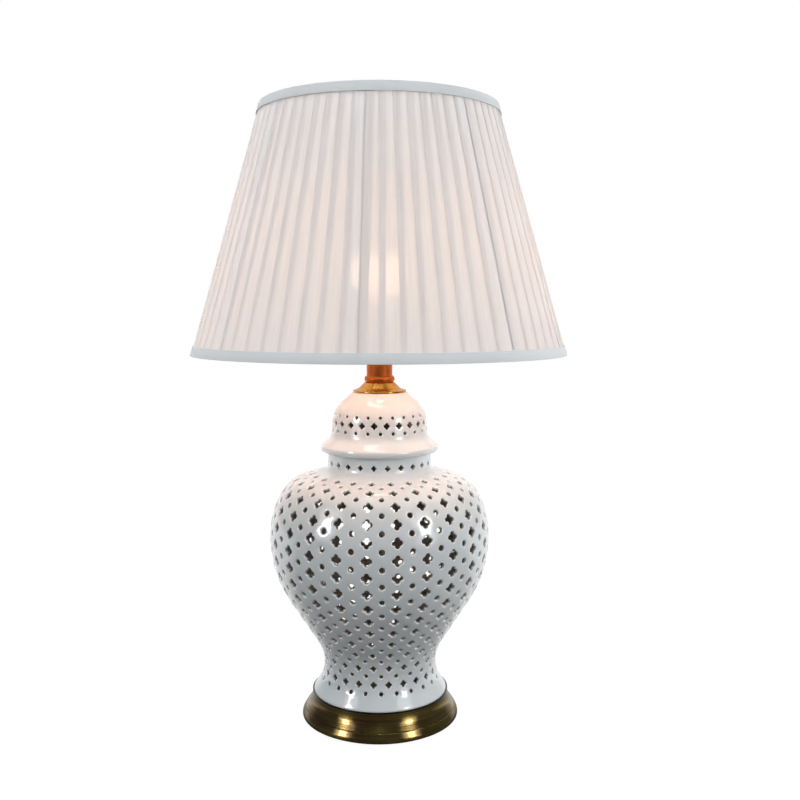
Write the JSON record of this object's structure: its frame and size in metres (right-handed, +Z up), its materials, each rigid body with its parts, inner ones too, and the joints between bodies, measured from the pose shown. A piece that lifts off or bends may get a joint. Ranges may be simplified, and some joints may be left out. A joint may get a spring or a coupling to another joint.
{
  "type": "table lamp",
  "caption": "Ceramic table lamp: a pierced white baluster jar with a domed lid on a spun brass base, with a tapered pleated cloth shade over a screw-in bulb.",
  "frame": {"origin": "on the table under the middle of the base", "axes": "+Z up the lamp's axis, -Y towards the viewer, the lead's bush at +Y"},
  "size_m": [0.3999, 0.4, 0.66],
  "materials": {
    "felt": "dark felt",
    "antique_brass": "spun brass with a dark antique lacquer",
    "cast_iron": "raw casting",
    "rubber": "moulded rubber",
    "zinc_steel": "zinc-plated steel",
    "glaze": "white gloss glaze",
    "gold_brass": "polished brass",
    "copper_brass": "copper-brown lacquered brass",
    "holder_plastic": "ivory moulded plastic",
    "porcelain": "unglazed porcelain",
    "contact_brass": "bare brass",
    "bulb_glass": "frosted glass",
    "clear_glass": "clear glass",
    "black_glass": "black insulating glass",
    "bulb_cap": "pressed aluminium",
    "tungsten": "tungsten wire",
    "pleated_cloth": "pleated off-white cloth",
    "trim_tape": "pale grey-blue woven tape",
    "frame_wire": "white coated steel wire"
  },
  "bodies": {
    "lamp": {"base_felt": "felt", "base_shell": "antique_brass", "base_weight": "cast_iron", "cord_bush": "rubber", "jar_gasket": "rubber", "threaded_rod": "zinc_steel", "rod_washer": "zinc_steel", "base_nut": "zinc_steel", "jar": "glaze", "lid": "glaze", "vase_cap": "gold_brass", "neck_bead": "gold_brass", "neck_nut": "zinc_steel", "neck_tube": "copper_brass", "holder_cap": "holder_plastic", "holder_shell": "holder_plastic", "holder_insert": "porcelain", "screw_shell": "contact_brass", "centre_contact": "contact_brass", "terminal_screws": "contact_brass", "shade_ring_lower": "holder_plastic", "shade_ring_upper": "holder_plastic"},
    "shade": {"shade_cloth": "pleated_cloth", "shade_bottom_trim": "trim_tape", "shade_top_trim": "trim_tape", "shade_bottom_ring": "frame_wire", "shade_top_ring": "frame_wire", "shade_rib_1": "frame_wire", "shade_rib_2": "frame_wire", "shade_rib_3": "frame_wire", "shade_rib_4": "frame_wire", "shade_rib_5": "frame_wire", "shade_rib_6": "frame_wire", "shade_rib_7": "frame_wire", "shade_rib_8": "frame_wire", "fitter_ring": "frame_wire", "fitter_arm_1": "frame_wire", "fitter_arm_2": "frame_wire", "fitter_arm_3": "frame_wire"},
    "switch": {"switch_bar": "holder_plastic"},
    "bulb_lift": {"bulb_contact": "bulb_cap"},
    "bulb": {"bulb_cap": "bulb_cap", "bulb_insulator": "black_glass", "bulb_glass": "bulb_glass", "bulb_stem": "clear_glass", "bulb_filament": "tungsten"}
  },
  "joints": [
    {"name": "shade_turn", "type": "hinge", "parent": "lamp", "child": "shade", "pos_m": [0, 0, 0.425], "axis": [0, 0, 1], "continuous": true},
    {"name": "switch_push", "type": "slide", "parent": "lamp", "child": "switch", "axis": [1, 0, 0], "range_m": [-0.006, 0]},
    {"name": "bulb_rise", "type": "slide", "parent": "lamp", "child": "bulb_lift", "axis": [0, 0, 1], "range_m": [0, 0.01089]},
    {"name": "bulb_turn", "type": "hinge", "parent": "bulb_lift", "child": "bulb", "pos_m": [0, 0, 0.45], "axis": [0, 0, 1], "range_deg": [0, 1080]}
  ],
  "couplings": [
    {"joint": "bulb_rise", "follows": "bulb_turn", "m_per_rad": 0.00057757}
  ]
}
